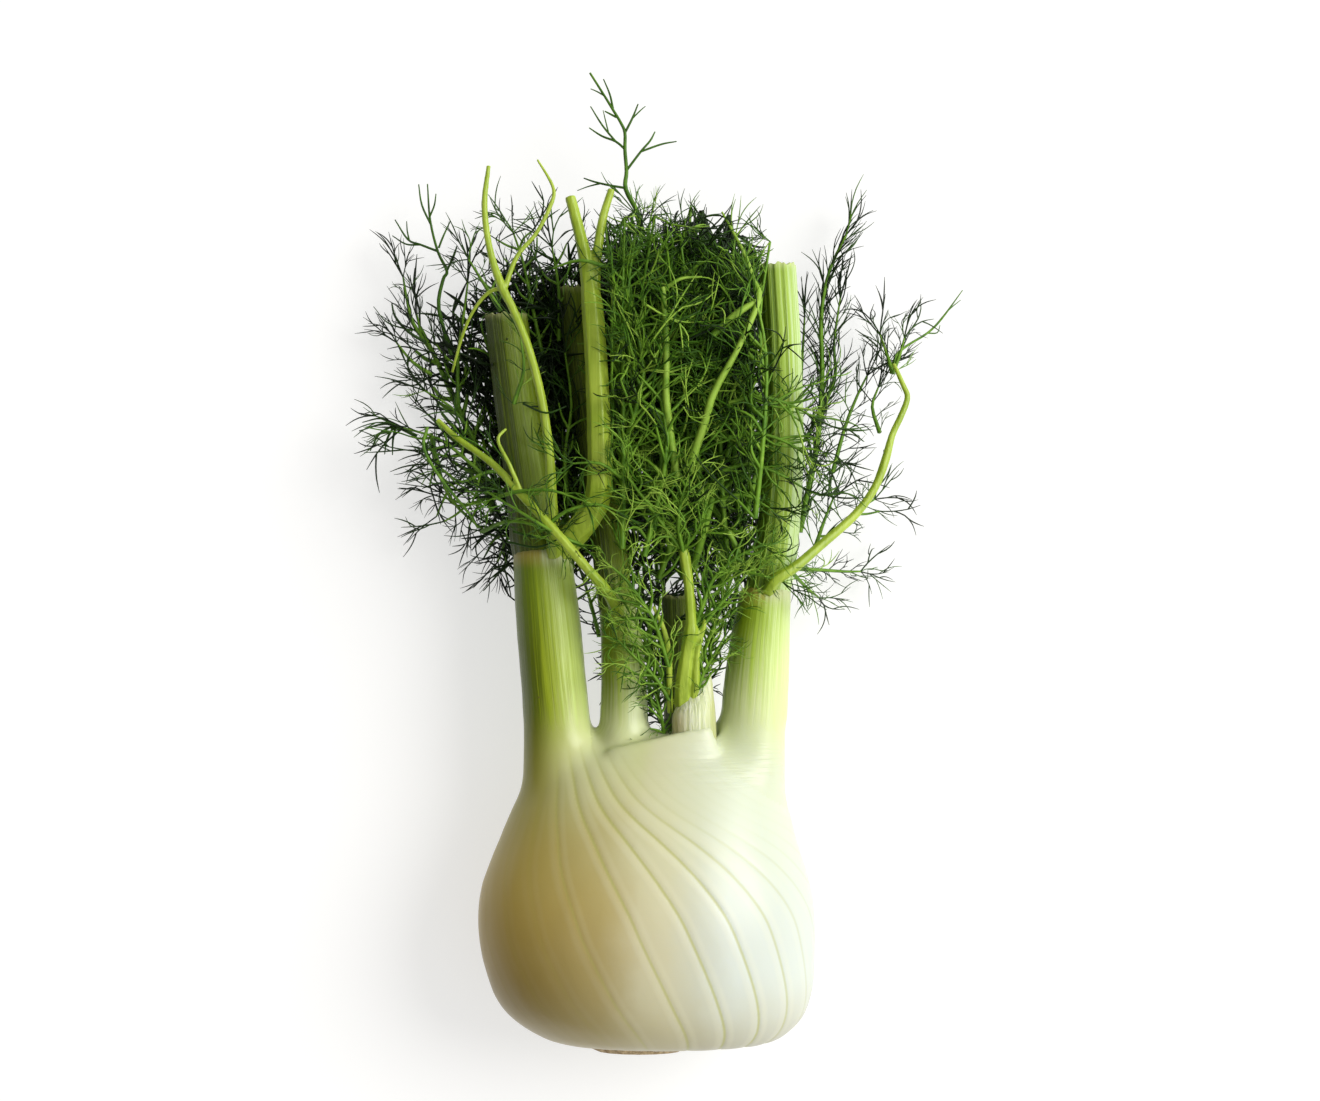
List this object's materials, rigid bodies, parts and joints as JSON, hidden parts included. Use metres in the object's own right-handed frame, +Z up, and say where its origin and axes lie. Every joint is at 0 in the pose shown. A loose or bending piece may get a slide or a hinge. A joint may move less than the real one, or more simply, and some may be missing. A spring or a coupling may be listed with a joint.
{
  "type": "fennel bulb",
  "caption": "Fresh fennel bulb lying on its broad side, with ribbed leaf bases, a cut root plate, cut green stalks, thin side branches and feathery fronds",
  "frame": {"origin": "On the surface that the fennel lies on, under the middle of the bulb, at the flat patch where the bulb's side rests", "axes": "+Y from the cut root along the stalks to the leaf tips, +X to the right across the bulb's breadth as seen from above, +Z up through the bulb's thin direction"},
  "size_m": [0.1828, 0.2952, 0.0631],
  "materials": {
    "white_flesh": "satin, waxy",
    "green_stalk": "satin, ribbed",
    "young_stem": "satin",
    "leaf": "matt, feathery",
    "cork": "rough, dry cut"
  },
  "bodies": {
    "root": {"bulb": "white_flesh", "centre_left_stalk": "green_stalk", "centre_left_upper_stalk": "green_stalk", "centre_right_stalk": "green_stalk", "crossing_branch": "young_stem", "far_right_frond": "leaf", "heart_left_frond": "leaf", "heart_right_frond": "leaf", "heart_stem": "young_stem", "heart_top_frond": "leaf", "inner_sheath": "white_flesh", "left_forked_branch": "young_stem", "left_inner_frond": "leaf", "left_lower_frond": "leaf", "left_slender_branch": "young_stem", "left_stalk": "green_stalk", "left_upper_frond": "leaf", "left_upper_stalk": "green_stalk", "low_right_lower_frond": "leaf", "low_right_upper_frond": "leaf", "middle_frond": "leaf", "middle_right_frond": "leaf", "over_stalk_frond": "leaf", "right_branch": "young_stem", "right_stalk": "green_stalk", "right_tall_frond": "leaf", "right_upper_stalk": "green_stalk", "root_plate": "cork", "top_frond": "leaf", "under_left_frond": "leaf", "under_middle_frond": "leaf"}
  },
  "joints": []
}
